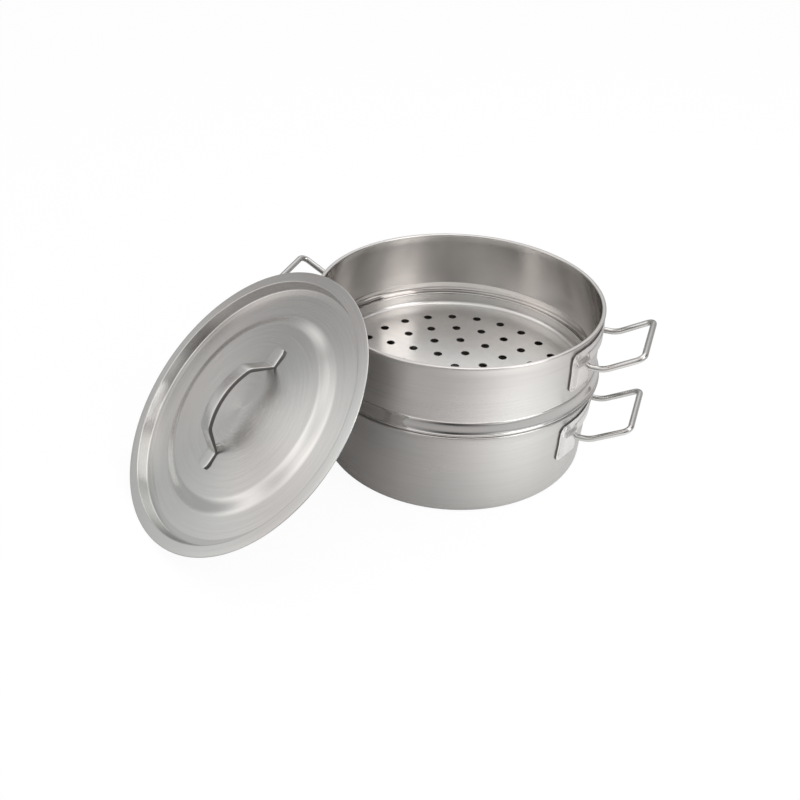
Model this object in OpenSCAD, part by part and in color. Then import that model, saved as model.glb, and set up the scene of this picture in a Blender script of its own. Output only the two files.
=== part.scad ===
// Two-tier stainless steel steamer set: a pot on the floor, a perforated
// steamer nested on its rim, and the lid leaning against the stack.
// Millimetres, +Z up. The origin is the centre of the pot's base on the
// floor, and the wire handles stand out along X.

/* [Sheet metal] */
// Radius of both vessels just below their rims
vessel_r = 139.8; // [120:0.2:170]
// Sheet of the two vessels
sheet = 0.8; // [0.6:0.1:1.2]
// Sheet of the lid
lid_sheet = 0.7; // [0.5:0.1:1.2]
// Clear space between pieces that rest on each other
rest_gap = 0.3; // [0.2:0.05:0.6]

/* [Pot] */
// Height of the pot from the floor to the top of its rim
pot_h = 95; // [80:1:160]
// How much narrower the wall is at its foot
pot_taper = 4.4; // [0.4:0.2:10]
// Radius of the corner between wall and base
pot_corner_r = 8; // [4:0.5:20]
// How far the rolled rim stands out of the wall
pot_lip_out = 5.2; // [3:0.1:8]
// Height of the rolled rim
pot_lip_h = 3.2; // [2:0.1:4]

/* [Steamer] */
// Height of the straight wall, rim included
steamer_wall_h = 58; // [54:1:120]
// How far the foot of the wall flares out
flare_out = 4.4; // [3:0.1:7]
// Height of the flare
flare_h = 11.2; // [8:0.2:20]
// Height of the bead under the flare
bead_h = 2.4; // [1.8:0.1:5]
// Depth of the skirt below the pot's rim
skirt_h = 13; // [9:0.5:30]
// Clear space between the skirt and the pot
skirt_gap = 0.6; // [0.4:0.1:2]
// Radius of the corner between skirt and perforated plate
skirt_corner_r = 6; // [3:0.5:8]
// How far the rolled rim stands out of the wall
steamer_lip_out = 2.2; // [1.6:0.1:5]
// How far the rolled rim stands into the steamer
steamer_lip_in = 1.2; // [0.4:0.1:2]
// Height of the rolled rim
steamer_lip_h = 2.6; // [2:0.1:4]

/* [Steam holes] */
// Diameter of each hole
hole_d = 8; // [4:0.5:12]
// Radius of the innermost ring of holes
hole_ring_r = 29; // [20:0.5:30]
// Step from one ring to the next
hole_ring_step = 25.4; // [16:0.2:25.4]
// Number of rings
hole_rings = 4; // [2:1:4]

/* [Wire handles] */
// Diameter of the wire
wire_d = 6; // [5:0.5:7]
// Distance between the two legs
leg_span = 76.4; // [66:0.2:84]
// Distance from the vessel's wall to the grip
grip_reach = 46; // [36:0.5:70]
// Rise of the grip over the place where the legs leave the wall
grip_rise = 20; // [10:0.5:26]
// Length of the level stretch of each leg outside the bracket
leg_level = 5.6; // [4:0.2:8]
// Bend radius between level and rising stretch
leg_bend_r = 24; // [12:1:26]
// Bend radius of the two grip corners
grip_bend_r = 7.5; // [6:0.5:12]
// How much the wire swells where it is bent
bend_swell = 0.12; // [0.1:0.02:0.3]
// Thickness of the hammered wire end inside the bracket
paddle_t = 3; // [2:0.1:3.2]
// Height of the hammered wire end
paddle_h = 7.2; // [6.4:0.2:7.2]

/* [Handle brackets] */
// Depth of the steamer's brackets below its rim
steamer_bracket_drop = 8.8; // [6:0.2:12]
// Depth of the pot's brackets below its rim
pot_bracket_drop = 17; // [10:0.5:24]
// Depth of the wire legs below the bracket's top edge
leg_drop = 22.8; // [22.8:0.2:25]
// Thickness of the bracket's plate
bracket_t = 1.2; // [1:0.1:1.4]
// Half width of the bracket
bracket_half_w = 65; // [62:0.5:72]
// Height of the two end lobes
bracket_h = 40; // [38:0.5:44]
// Height of the strip that joins the lobes
strip_h = 18.5; // [14:0.5:18.5]
// Height of the flat band along the top edge
band_h = 6; // [5:0.2:7]
// How far the strip is pressed out below that band
strip_out = 0.9; // [0.4:0.1:1.4]
// How far the pockets at the lobes stand off the wall
pocket_out = 4.6; // [4.6:0.1:7]
// Width of the flat edge left beside and under the pockets
bracket_edge = 3.7; // [3:0.1:6]
// Width of the sloped top and bottom of a pocket
pocket_slope = 3; // [1.5:0.1:4]
// Radius of the bracket's outer corners
bracket_corner_r = 6; // [3:0.5:8]
// Diameter of a spot weld
weld_d = 3.6; // [2.4:0.2:4]
// Depth of a spot weld's dent
weld_dent = 0.3; // [0.1:0.05:0.5]

/* [Lid] */
// Outer radius of the lid
lid_r = 144.8; // [144:0.2:160]
// Width of the flat flange
lid_flange_w = 9.5; // [6:0.5:12]
// Thickness of the folded edge
lid_hem_t = 1.2; // [1:0.1:2.4]
// Width of the folded edge
lid_hem_w = 3.4; // [2.4:0.1:5]
// Width of the wall that drops inside the rim
lid_drop_w = 9; // [8:0.5:12]
// Depth of the channel below the flange
lid_recess = 10.6; // [8:0.2:11]
// Width of the level channel floor
lid_channel_w = 21.5; // [18:0.5:26]
// Width of the rise from the channel to the crown
lid_rise_w = 18; // [14:0.5:26]
// Height of the rise
lid_rise_h = 8; // [4:0.2:9]
// Distance from the channel's inner edge to where the lid leans on the rim
lean_in = 6.6; // [5:0.2:14]
// Direction that the leaning lid faces, from +X
lid_heading = -130.2; // [-134:0.1:-126]
// Sideways offset of the leaning lid
lid_shift = -10; // [-14:0.5:-6]
// Gap between the lid's edge and the floor
floor_gap = 0.1; // [0.05:0.05:0.4]

/* [Lid handle] */
// Length of the strap handle over its feet
strap_l = 131; // [120:1:140]
// Width of the strap
strap_w = 15; // [10:0.5:22]
// Thickness of the strap
strap_t = 1.6; // [1.2:0.1:2.4]
// Depth of the turned-down edges of the arch
strap_lip = 3.6; // [3:0.1:5]
// Length of each flat foot
strap_foot_l = 19; // [14:0.5:24]
// Distance between the tops of the two legs
strap_arch_l = 66; // [50:1:72]
// Height of the tops of the legs over the crown
strap_leg_h = 22; // [16:0.5:30]
// Height of the arch over the tops of its legs
strap_arch_h = 8; // [5:0.5:12]
// Turn of the handle on the lid
strap_turn = 10; // [-30:1:30]

/* [Hidden] */

steel = [0.78, 0.78, 0.77];
bright = [0.88, 0.88, 0.9];
satin = [0.7, 0.71, 0.72];

// Overrun of every cut
cut = sheet;
// Lap of a straight wire into the bend that it meets
wire_lap = wire_d / 12;
// Steps of a bend or of a wave in an outline
steps = 8;
$fn = 96;

// A wall is a pair: its radius at the floor and its growth per height
pot_growth = pot_taper / (pot_h - pot_corner_r);
pot_foot_r = vessel_r - pot_taper;
pot_wall = [pot_foot_r - pot_growth * pot_corner_r, pot_growth];
steamer_wall = [vessel_r, 0];
function wall_r(wall, z) = wall[0] + wall[1] * z;

// Angle round the vessel of a sideways distance from the handle's middle
function side_a(r, y) = asin(y / r);

// Points of an arc in the half plane of a turned shape
function arc(c, r, a0, a1) = [for (i = [0 : steps]) let (a = a0 + (a1 - a0) * i / steps)
    [c.x + r * cos(a), c.y + r * sin(a)]];
function reversed(list) = [for (i = [1 : len(list)]) list[len(list) - i]];

module both_sides() for (flip = [0, 1]) mirror([0, flip, 0]) children();

// Rim rolled shut: two rounds with a flat between them
module rolled_rim(r0, r1, h, z) rotate_extrude() {
    translate([r0 + h / 2, z]) circle(d = h);
    translate([r1 - h / 2, z]) circle(d = h);
    translate([r0 + h / 2, z - h / 2]) square([r1 - r0 - h, h]);
}

// Pot
pot_lip_z = pot_h - pot_lip_h / 2;

function pot_side(inset) = let (c = [pot_foot_r - pot_corner_r, pot_corner_r])
    concat([[0, inset]], arc(c, pot_corner_r - inset, -90, 0),
        [[wall_r(pot_wall, pot_lip_z) - inset, pot_lip_z]]);

module pot_body() color(steel) {
    rotate_extrude() polygon(concat(pot_side(0), reversed(pot_side(sheet))));
    rolled_rim(vessel_r - sheet, vessel_r + pot_lip_out, pot_lip_h, pot_lip_z);
}

// Steamer: wall with a flared foot, ledge on the pot's rim, skirt and plate
seat_z = pot_h + rest_gap;
flare_z = seat_z + bead_h;
crease_z = flare_z + flare_h;
rim_z = crease_z + steamer_wall_h;
steamer_lip_z = rim_z - steamer_lip_h / 2;
plate_z = pot_h - skirt_h;
skirt_r = wall_r(pot_wall, plate_z + skirt_corner_r) - sheet - skirt_gap;
flare_r = vessel_r + flare_out;

function flare_side(inset) = [for (i = [0 : steps]) let (u = i / steps)
    [vessel_r - inset + flare_out * (1 - cos(180 * u)) / 2, crease_z - flare_h * u]];

module steamer_wall_section() polygon(concat([[vessel_r - sheet, steamer_lip_z],
    [vessel_r, steamer_lip_z]], flare_side(0), reversed(flare_side(sheet))));

module steamer_ledge_section() {
    bead_r = flare_r - bead_h / 2;
    translate([bead_r, seat_z + bead_h / 2]) circle(d = bead_h);
    translate([flare_r - sheet, seat_z + bead_h / 2]) square([sheet, bead_h / 2]);
    translate([skirt_r - sheet, seat_z]) square([bead_r - skirt_r + sheet, sheet]);
}

function pan_side(inset) = let (c = [skirt_r - skirt_corner_r, plate_z + skirt_corner_r])
    concat([[0, plate_z + inset]], arc(c, skirt_corner_r - inset, -90, 0),
        [[skirt_r - inset, seat_z + sheet]]);

module steam_holes() translate([0, 0, plate_z - cut]) {
    ring_turns = [24.7, 10.4, 5.5, 3.2];
    per_ring = 6;
    cylinder(d = hole_d, h = sheet + 2 * cut);
    for (ring = [1 : hole_rings], i = [1 : per_ring * ring])
        rotate(ring_turns[ring - 1] + 360 * i / (per_ring * ring))
            translate([hole_ring_r + (ring - 1) * hole_ring_step, 0])
                cylinder(d = hole_d, h = sheet + 2 * cut);
}

module steamer_body() color(steel) {
    rotate_extrude() {
        steamer_wall_section();
        steamer_ledge_section();
    }
    difference() {
        rotate_extrude() polygon(concat(pan_side(0), reversed(pan_side(sheet))));
        steam_holes();
    }
    rolled_rim(vessel_r - sheet - steamer_lip_in, vessel_r + steamer_lip_out,
        steamer_lip_h, steamer_lip_z);
}

// Slice of a shell on a wall, between two angles, with sloped top and bottom
module sloped_slice(wall, a0, a1, z0, z1, inner, outer, slope) {
    low = z0 + slope;
    high = z1 - slope;
    rotate([0, 0, a0]) rotate_extrude(angle = a1 - a0)
        polygon([[wall_r(wall, z0) + inner, z0], [wall_r(wall, low) + outer, low],
            [wall_r(wall, high) + outer, high], [wall_r(wall, z1) + inner, z1]]);
}

module plain_slice(wall, a0, a1, z0, z1, inner, outer)
    rotate([0, 0, a0]) rotate_extrude(angle = a1 - a0)
        polygon([[wall_r(wall, z0) + inner, z0], [wall_r(wall, z0) + outer, z0],
            [wall_r(wall, z1) + outer, z1], [wall_r(wall, z1) + inner, z1]]);

module rounded_panel(y0, y1, z0, z1, r) {
    for (y = [y0 + r, y1 - r], z = [z0 + r, z1 - r]) translate([y, z]) circle(r = r);
    translate([y0 + r, z0]) square([y1 - y0 - 2 * r, z1 - z0]);
    translate([y0, z0 + r]) square([y1 - y0, z1 - z0 - 2 * r]);
}

// Outline of the bracket seen from outside: a strip with a lobe at each end
module bracket_outline(top_z) {
    w = bracket_half_w;
    rounded_panel(-w, w, top_z - strip_h, top_z, bracket_corner_r);
    for (y = [-w, leg_span / 2])
        rounded_panel(y, y + w - leg_span / 2, top_z - bracket_h, top_z, bracket_corner_r);
}

// Bracket on the +X side of a wall, with two pockets for the wire's ends
module bracket(wall, top_z) color(satin) {
    low_z = top_z - bracket_h;
    mid_r = wall_r(wall, (top_z + low_z) / 2);
    in_a = side_a(mid_r, leg_span / 2);
    out_a = side_a(mid_r, bracket_half_w - bracket_edge);
    t_a = side_a(mid_r, bracket_t);
    pocket_low = low_z + bracket_edge;
    pocket_high = top_z - band_h;
    difference() {
        union() {
            intersection() {
                plain_slice(wall, -2 * out_a, 2 * out_a, low_z - cut, top_z + cut, 0, bracket_t);
                rotate([90, 0, 90]) linear_extrude(height = 2 * mid_r) bracket_outline(top_z);
            }
            sloped_slice(wall, -in_a - t_a, in_a + t_a, top_z - strip_h, pocket_high,
                bracket_t / 2, bracket_t + strip_out, strip_out);
            both_sides() sloped_slice(wall, in_a, out_a, pocket_low, pocket_high,
                bracket_t / 2, pocket_out, pocket_slope);
        }
        both_sides() {
            sloped_slice(wall, in_a + t_a, out_a - t_a, pocket_low + bracket_t,
                pocket_high - bracket_t, -cut, pocket_out - bracket_t, pocket_slope);
            wire_mouth(mid_r, top_z - leg_drop);
            for (y = [leg_span / 4, bracket_half_w - bracket_edge - weld_d / 2])
                rotate([0, 0, side_a(mid_r, y)])
                    translate([wall_r(wall, top_z) + bracket_t - weld_dent, 0, top_z - band_h / 2])
                        rotate([0, 90, 0]) cylinder(d = weld_d, h = pocket_out);
        }
    }
}

// Slot in a pocket's inner side and face, where the wire comes out
module wire_mouth(r, leg_z) {
    w = wire_d / 2 + rest_gap;
    h = paddle_h + 2 * rest_gap;
    translate([r / 2, leg_span / 2 - w, leg_z - h / 2]) cube([r, 2 * w, h]);
}

// Angle of the rising stretch that meets the grip after the lower bend
function rise_angle(run, rise, bend) = let (d = norm([run, rise - bend]))
    90 - acos(bend / d) + atan2(rise - bend, run);

// Bend of the wire in the XY plane, from +X round to +Y
module wire_bend(r, angle) rotate_extrude(angle = angle) translate([r, 0])
    circle(d = wire_d + bend_swell);

// Straight piece of wire along +X, which laps into what it meets at both ends
module wire_run(length) translate([-wire_lap, 0, 0]) rotate([0, 90, 0])
    cylinder(d = wire_d, h = length + 2 * wire_lap);

// Wire handle on the +X side of a wall, from the height where its legs leave
module wire_handle(wall, leg_z) color(bright) {
    r = wall_r(wall, leg_z);
    leg_y = leg_span / 2;
    start_x = sqrt(r * r - leg_y * leg_y) + paddle_t / 2 + wire_lap;
    bend_x = start_x + pocket_out + leg_level - paddle_t / 2;
    grip_x = vessel_r + grip_reach;
    rise_a = rise_angle(grip_x - bend_x, grip_rise, leg_bend_r);
    lift = leg_bend_r * (1 - cos(rise_a));
    both_sides() {
        plain_slice(wall, side_a(r, leg_y - wire_d / 2 - 2 * wire_lap),
            side_a(r, bracket_half_w - 2 * bracket_edge), leg_z - paddle_h / 2,
            leg_z + paddle_h / 2, 0, paddle_t);
        translate([start_x, leg_y, leg_z]) wire_run(bend_x - start_x);
        translate([bend_x, leg_y, leg_z + leg_bend_r]) rotate([90, 0, 0]) rotate([0, 0, -90])
            wire_bend(leg_bend_r, rise_a);
        translate([bend_x + leg_bend_r * sin(rise_a), leg_y, leg_z + lift])
            rotate([0, -rise_a, 0]) wire_run((grip_rise - lift) / sin(rise_a) - grip_bend_r);
        translate([grip_x, 0, leg_z + grip_rise]) rotate([0, -rise_a, 0])
            translate([-grip_bend_r, leg_y - grip_bend_r, 0]) wire_bend(grip_bend_r, 90);
    }
    translate([grip_x, grip_bend_r - leg_y, leg_z + grip_rise]) rotate([0, 0, 90])
        wire_run(leg_span - 2 * grip_bend_r);
}

pot_top = pot_h - pot_bracket_drop;
steamer_top = rim_z - steamer_bracket_drop;

module pot_bracket_right() bracket(pot_wall, pot_top);
module pot_bracket_left() rotate([0, 0, 180]) bracket(pot_wall, pot_top);
module pot_handle_right() wire_handle(pot_wall, pot_top - leg_drop);
module pot_handle_left() rotate([0, 0, 180]) wire_handle(pot_wall, pot_top - leg_drop);
module steamer_bracket_right() bracket(steamer_wall, steamer_top);
module steamer_bracket_left() rotate([0, 0, 180]) bracket(steamer_wall, steamer_top);
module steamer_handle_right() wire_handle(steamer_wall, steamer_top - leg_drop);
module steamer_handle_left() rotate([0, 0, 180]) wire_handle(steamer_wall, steamer_top - leg_drop);

// Lid, drawn level with its flange top at height zero, then leaned
crown_z = lid_rise_h - lid_recess;
lid_wall_r = lid_r - lid_flange_w;
channel_r = lid_wall_r - lid_drop_w;
rise_r = channel_r - lid_channel_w;
crown_r = rise_r - lid_rise_w;

// Half a wave from one level to another, at a depth in the sheet
function wave(r0, r1, z0, z1, depth) = [for (i = [0 : steps])
    let (u = i / steps, slope = (z1 - z0) / (r1 - r0) * PI / 2 * sin(180 * u), n = norm([1, slope]))
    [r0 + (r1 - r0) * u + depth * slope / n, z0 + (z1 - z0) * (1 - cos(180 * u)) / 2 - depth / n]];

function lid_skin(depth) = concat([[lid_r, -depth]],
    wave(lid_wall_r, channel_r, 0, -lid_recess, depth),
    wave(rise_r, crown_r, -lid_recess, crown_z, depth), [[0, crown_z - depth]]);

// The lid's edge stands on the floor and the channel's floor leans on the
// outer round of the steamer's rim, which gives the lid's tilt and place
round_r = vessel_r + steamer_lip_out - steamer_lip_h / 2;
lid_off = steamer_lip_h / 2 + rest_gap + lid_recess + lid_sheet;
slant_l = lid_r + rise_r + lean_in;
slant_off = lid_off - lid_hem_t;
lid_tilt = asin((steamer_lip_z - floor_gap) / norm([slant_l, slant_off])) + atan2(slant_off, slant_l);
lid_z = lid_r * sin(lid_tilt) + lid_hem_t * cos(lid_tilt) + floor_gap;
lid_dist = round_r + ((steamer_lip_z - lid_z) * cos(lid_tilt) + lid_off) / sin(lid_tilt);

module lean() rotate([0, 0, lid_heading]) translate([lid_dist, lid_shift, lid_z])
    rotate([0, lid_tilt, 0]) children();

module lid_shell() color(steel) lean() rotate_extrude() {
    polygon(concat(lid_skin(0), reversed(lid_skin(lid_sheet))));
    translate([lid_r - lid_hem_w, -lid_hem_t]) square([lid_hem_w, lid_hem_t]);
}

// Strap handle, drawn along X with its feet on the crown
arch_half = strap_arch_l / 2;
arch_r = (arch_half * arch_half + strap_arch_h * strap_arch_h) / (2 * strap_arch_h);
arch_top = strap_leg_h + strap_arch_h;

module strap_side() {
    foot_x = strap_l / 2 - strap_foot_l;
    leg_w = strap_t * norm([foot_x - arch_half, strap_leg_h]) / strap_leg_h;
    intersection() {
        difference() {
            translate([0, arch_top - arch_r]) circle(r = arch_r);
            translate([0, arch_top - arch_r]) circle(r = arch_r - strap_lip);
        }
        translate([-arch_half, strap_leg_h - strap_lip]) square([strap_arch_l, arch_top]);
    }
    for (flip = [0, 1]) mirror([flip, 0]) {
        polygon([[arch_half, strap_leg_h], [arch_half - leg_w, strap_leg_h],
            [foot_x - leg_w, 0], [foot_x, 0]]);
        translate([foot_x - leg_w, 0]) square([strap_foot_l + leg_w, strap_t]);
    }
}

// Space between the turned-down edges, which end just short of the legs
module strap_hollow() {
    half = arch_half - 3 * strap_t;
    translate([0, strap_w / 2 - strap_t, arch_top - arch_r]) rotate([90, 0, 0])
        intersection() {
            cylinder(r = arch_r - strap_t, h = strap_w - 2 * strap_t);
            translate([-half, 0, 0]) cube([2 * half, arch_r, strap_w]);
        }
}

module lid_handle() color(satin) lean() rotate([0, 0, strap_turn])
    translate([0, 0, crown_z]) difference() {
        translate([0, strap_w / 2, 0]) rotate([90, 0, 0])
            linear_extrude(height = strap_w) strap_side();
        strap_hollow();
    }

pot_body();
pot_bracket_right();
pot_bracket_left();
pot_handle_right();
pot_handle_left();
steamer_body();
steamer_bracket_right();
steamer_bracket_left();
steamer_handle_right();
steamer_handle_left();
lid_shell();
lid_handle();
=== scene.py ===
import math

import bmesh
import bpy
import mathutils.geometry
from mathutils import Matrix, Vector


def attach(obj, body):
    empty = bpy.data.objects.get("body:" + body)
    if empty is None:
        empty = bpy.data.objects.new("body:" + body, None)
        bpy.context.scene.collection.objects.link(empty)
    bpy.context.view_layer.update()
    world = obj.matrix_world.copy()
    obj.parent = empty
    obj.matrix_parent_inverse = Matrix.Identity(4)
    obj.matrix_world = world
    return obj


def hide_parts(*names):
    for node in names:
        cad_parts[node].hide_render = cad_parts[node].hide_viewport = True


# Everything is written in millimetres in the part's own frame and scaled by MM
MM = 0.001
TURNS = 240
WALL_STEPS = 8
BASE_STEPS = 12

# Vessel walls, the same sizes as the construction model
VESSEL_R = 139.8
SHEET = 0.8
POT_FOOT_R = 135.4
POT_CORNER_R = 8.0
POT_GROWTH = 4.4 / 87.0
SEAT_Z = 95.3
BEAD_H = 2.4
FLARE_R = 144.2
FLARE_Z = 97.7
CREASE_Z = 108.9
SKIRT_R = 138.23
SKIRT_CORNER_R = 6.0
PLATE_Z = 82.0
# Small rounds of the steamer's foot: over the ledge, inside the flare and under the ledge
LEDGE_ROUND = 0.8
FLARE_ROUND = 0.9
SKIRT_ROUND = 0.5
FOOT_STEPS = 3

# Rolled lips: inner radius, outer radius, thickness and the height of the middle
POT_LIP = (139.0, 145.0, 3.2, 93.4)
STEAMER_LIP = (137.8, 142.0, 2.6, 165.6)
# Where a wall meets its lip: how far it turns aside, and how far below the lip
POT_NECK = (0.12, 0.2)
STEAMER_NECK = (0.12, 0.25)
STEAMER_NECK_IN = (0.1, 0.3)

# Steam holes: one in the middle, and rings as radius, number of holes and turn in degrees
HOLE_R = 4.15
HOLE_RINGS = [(29.0, 6, 24.7), (54.4, 12, 10.4), (79.8, 18, 5.5), (105.2, 24, 3.2)]
HOLE_SIDES = 28
# A hole's punched edge: how far out from its radius and how far down
HOLE_LIP = [(0.7, 0.0), (0.3, 0.0), (0.2, 0.04), (0.12, 0.14), (0.1, 0.3)]
# How far out from a hole's radius its edge is painted dark as shade
HOLE_SHADE_REACH = 0.26
# Points that keep the plate's triangles even: radius and number, and their gap to a hole
PLATE_FILL = [(16, 18), (42, 48), (67, 72), (92, 96), (117, 132), (126, 160)]
FILL_GAP = 2.0
# Slack for picking faces by their place
PICK = 0.05

# Handle brackets, outline: a strip with a lobe at each end, and a mouth in each lobe for the
# wire. MOUTH_HALF is half the mouth's width and half its height. GRID is the size of the
# squares that make up a bracket, and GRID_MARGIN the number of squares to spare at each side.
BRACKET_HALF_W = 65.0
BRACKET_H = 40.0
BRACKET_CORNER_R = 6.0
BRACKET_FILLET = 2.5
STRIP_H = 18.5
LEG_DROP = 22.8
LEG_Y = 38.2
MOUTH_HALF = (3.3, 3.5)
MOUTH_CORNER_R = 3.2
GRID = 0.65
GRID_MARGIN = 2
# Handle brackets, pressed face: a flat band along the top, a raised strip between the lobes
# and a pocket in each lobe, with slopes at the pocket's bottom, top and sides
BRACKET_T = 1.2
BAND_H = 6.0
STRIP_OUT = 0.9
STRIP_REACH = 4.0
STRIP_CORNER_R = 0.5
STRIP_FOOT = 0.1
STRIP_SLOPE = 1.4
POCKET_OUT = 4.6
POCKET_SLOPE = (2.0, 8.0)
POCKET_SIDE_SLOPE = 1.7
POCKET_SIDE_START = 0.4
BRACKET_EDGE = 3.7
# Spot welds: radius, radius where the dent ends, width of its slope and depth
WELD_R = 1.8
WELD_OUTER_R = 2.12
WELD_SLOPE = 0.8
WELD_DENT = 0.3
# Handle brackets, edge: how far the face stands off, and how its border rounds down
EDGE_LIFT = 0.4
EDGE_ROUND = 0.2
EDGE_SINK = 0.12
BACK_SINK = 0.02
# Height of each bracket's top edge
POT_BRACKET_Z = 78.0
STEAMER_BRACKET_Z = 158.1

# Wire handles. Their ends are flattened to half axes WIRE_FLAT and lie on the wall. From
# there the wire turns outwards, runs straight for WIRE_STRAIGHT past the pocket's face, bends
# up and ends in the grip.
WIRE_R = 3.0
WIRE_FLAT = (1.5, 3.5)
WIRE_FLAT_OUT = 1.55
WIRE_END_Y = 55.0
WIRE_TURN_R = 5.5
WIRE_STRAIGHT = 6.1
GRIP_X = 185.8
GRIP_RISE = 20.0
GRIP_POINTS = (20.0, 8.0, -8.0, -20.0)
LEG_BEND_R = 24.0
GRIP_BEND_R = 7.5
WIRE_SIDES = 20

# Lid, in its own frame, where the flange's inner edge has height zero
LID_R = 144.8
LID_SHEET = 0.7
# Hem: width and thickness, and how far its end is tucked in, up and clear of the underside
LID_HEM = (3.4, 1.2)
LID_HEM_TUCK = (0.15, 0.2, 0.3)
# Corners of the lid's section, each with its round: the channel's outer edge, the step, the
# step's foot as offsets from it, and the flange's inner edge
LID_CHANNEL = (125.0, 8.0)
LID_STEP = (131.4, -10.3, 1.5)
LID_STEP_FOOT = (1.0, 0.4, 0.8)
LID_EDGE = (133.9, 1.0)
LID_RISE_R = 104.8
LID_CROWN_R = 86.8
LID_RECESS = 10.6
LID_DOME = 3.0
LID_TOP_Z = -1.1
CROWN_STEPS = 26
# How much lower the outer edge of the flange and of the channel lies than the inner one
FLANGE_DROP = 0.45
CHANNEL_DROP = 0.9
LID_TILT = math.radians(42.8034)
LID_HEADING = math.radians(-130.2)
LID_PLACE = (231.198, -10.0, 99.3699)

# Strap handle on the lid
STRAP_SEAT_Z = -2.6
STRAP_HALF_L = 65.5
STRAP_FOOT = 46.5
STRAP_ARCH_HALF = 33.0
STRAP_LEG_H = 22.0
STRAP_ARCH_H = 8.0
STRAP_ARCH_STEPS = 16
# Bends at the arch's end and at the foot: radius, and the furthest that the bend may start
STRAP_BENDS = ((12.0, 9.0), (5.0, 6.0))
STRAP_W = 15.0
STRAP_T = 1.6
# Height of the turned-down edge along the arch and at the foot, where it sinks into the lid
STRAP_LIP = 3.8
STRAP_FOOT_LIP = 2.5
STRAP_FOOT_SINK = 0.1
# Low crown of the top: where, as a share of the half width, and how high
STRAP_CROWN = (0.4, 0.12)
STRAP_BEND_R = 1.1
STRAP_BEND_ANGLES = (0.0, 0.4, 0.8, 1.2, math.pi / 2)
# Underside of the turned-down edge: how far in and how far down, then where its inner side
# rises to the flat, as how far in and how far up, and where the flat starts
STRAP_RIM = [(0.0, 0.0), (0.5, 0.25), (1.3, 0.0)]
STRAP_INNER = (1.5, 0.3)
STRAP_FLAT_IN = 2.2
# The strap's rounded ends: how long and how much narrower
STRAP_END = (4.0, 2.2)
STRAP_TURN = math.radians(10.0)
# Bands of the strap's section painted dark as shade: the turned-down edges, the outer part of
# their bends and their undersides
STRAP_SHADE_BANDS = (0, 1, 2, 10, 11, 12, 13, 14, 20, 21)

# Studio: soft panels as {degrees to the right of the front: brightness}, one row low and one
# high, and the light above. The front is where the camera stands.
FRONT = -75.6
LOW_PANELS = {-160: 0.36, -140: 0.5, -120: 0.53, -100: 0.66, -80: 1.22, -60: 1.29, -40: 0.84,
              -20: 0.32, 20: 0.22, 40: 1.0, 60: 1.12, 80: 0.92, 100: 0.38, 120: 0.5,
              140: 0.5, 160: 0.3, 180: 0.2}
HIGH_PANELS = {-150: 0.85, -120: 0.05, -90: 1.45, -60: 0.97, -30: 0.76, 0: 0.28, 30: 0.45,
               120: 0.25, 150: 0.85, 180: 1.05}
ROOF_PANEL = {0: 1.5}
# The rows, each with its height in degrees and its tightness
PANEL_ROWS = ((LOW_PANELS, 10.0, 40.0), (HIGH_PANELS, 40.0, 20.0), (ROOF_PANEL, 85.0, 8.0))
ROOM_LIGHT = 0.44
# How much of the paper the camera sees as plain white, and how bright that white is. The rest
# is lit paper, which keeps the shadow.
PAPER_WHITE = 0.9
PAPER_GLOW = 1.05
PAPER_HALF = 6.0
PAPER_COLOUR = (0.86, 0.86, 0.86, 1.0)
# Pools of light on the paper: place, spread and brightness
POOLS = [((0.244, -0.175, 0.0), 0.12, 0.84), ((0.299, 0.023, 0.0), 0.12, 0.24)]
# Lamps: name, place, width and height, and power. Both point at the middle of the stack.
LAMPS = [("key", (1.218, -0.386, 1.063), (0.75, 0.9), 6.1),
         ("top", (0.35, 0.45, 1.8), (1.3, 1.3), 6.0)]
LAMP_TARGET = (0.0, 0.0, 0.1)
CAMERA_PLACE = (0.214791, -0.836651, 0.610451)
CAMERA_ANGLES = (56.40728, -1.773287, 19.239936)
CAMERA_LENS = 44.22

# Grain of turned steel: how long the marks run round the axis and how fine they are across
FINE_GRAIN = (7.0, 1500.0)
BAND_GRAIN = (1.6, 420.0)
LINE_GRAIN = (2.6, 2600.0)
# Grain of other steel, as scales along X, Y and Z
GRAIN_STRETCH = {"along": (90.0, 1200.0, 1200.0), "none": (500.0, 500.0, 500.0)}
SCRATCH_COLOUR = (0.9, 0.9, 0.9, 1.0)
POLISH = 0.32
BUMP_DEPTH = 0.0002


# Small maths
def mix(a, b, t):
    return a + (b - a) * t


def smooth(t):
    t = min(max(t, 0.0), 1.0)
    return t * t * (3 - 2 * t)


def arc(centre, r, a0, a1, steps=10):
    """Points of an arc, angles in degrees."""
    angles = [math.radians(mix(a0, a1, i / steps)) for i in range(steps + 1)]
    return [(centre[0] + r * math.cos(a), centre[1] + r * math.sin(a)) for a in angles]


def wave(r0, r1, z0, z1, steps=16):
    """Half a cosine wave between two levels."""
    shares = [i / steps for i in range(steps + 1)]
    return [(mix(r0, r1, u), mix(z0, z1, (1 - math.cos(math.pi * u)) / 2)) for u in shares]


def line(p, q, steps):
    """Points between two ends, without the ends."""
    return [(mix(p[0], q[0], i / steps), mix(p[1], q[1], i / steps)) for i in range(1, steps)]


def bend(before, corner, after, r, most=math.inf, steps=8):
    """Points of a short curve round a corner, which starts no further away than most."""
    p = Vector(corner)
    into = (p - Vector(before)).normalized()
    away = (Vector(after) - p).normalized()
    reach = min(r * math.tan(into.angle(away) / 2), most)
    out = []
    for i in range(steps + 1):
        u = i / steps
        q = (p - into * reach) * (1 - u) ** 2 + p * 2 * u * (1 - u) + (p + away * reach) * u * u
        out.append(tuple(q))
    return out


def rounded_path(corners):
    """A path through corners (r, z, radius), each one rounded by a short curve."""
    out = [corners[0][:2]]
    for before, corner, after in zip(corners, corners[1:], corners[2:]):
        out += bend(before[:2], corner[:2], after[:2], corner[2])
    out.append(corners[-1][:2])
    return out


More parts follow.
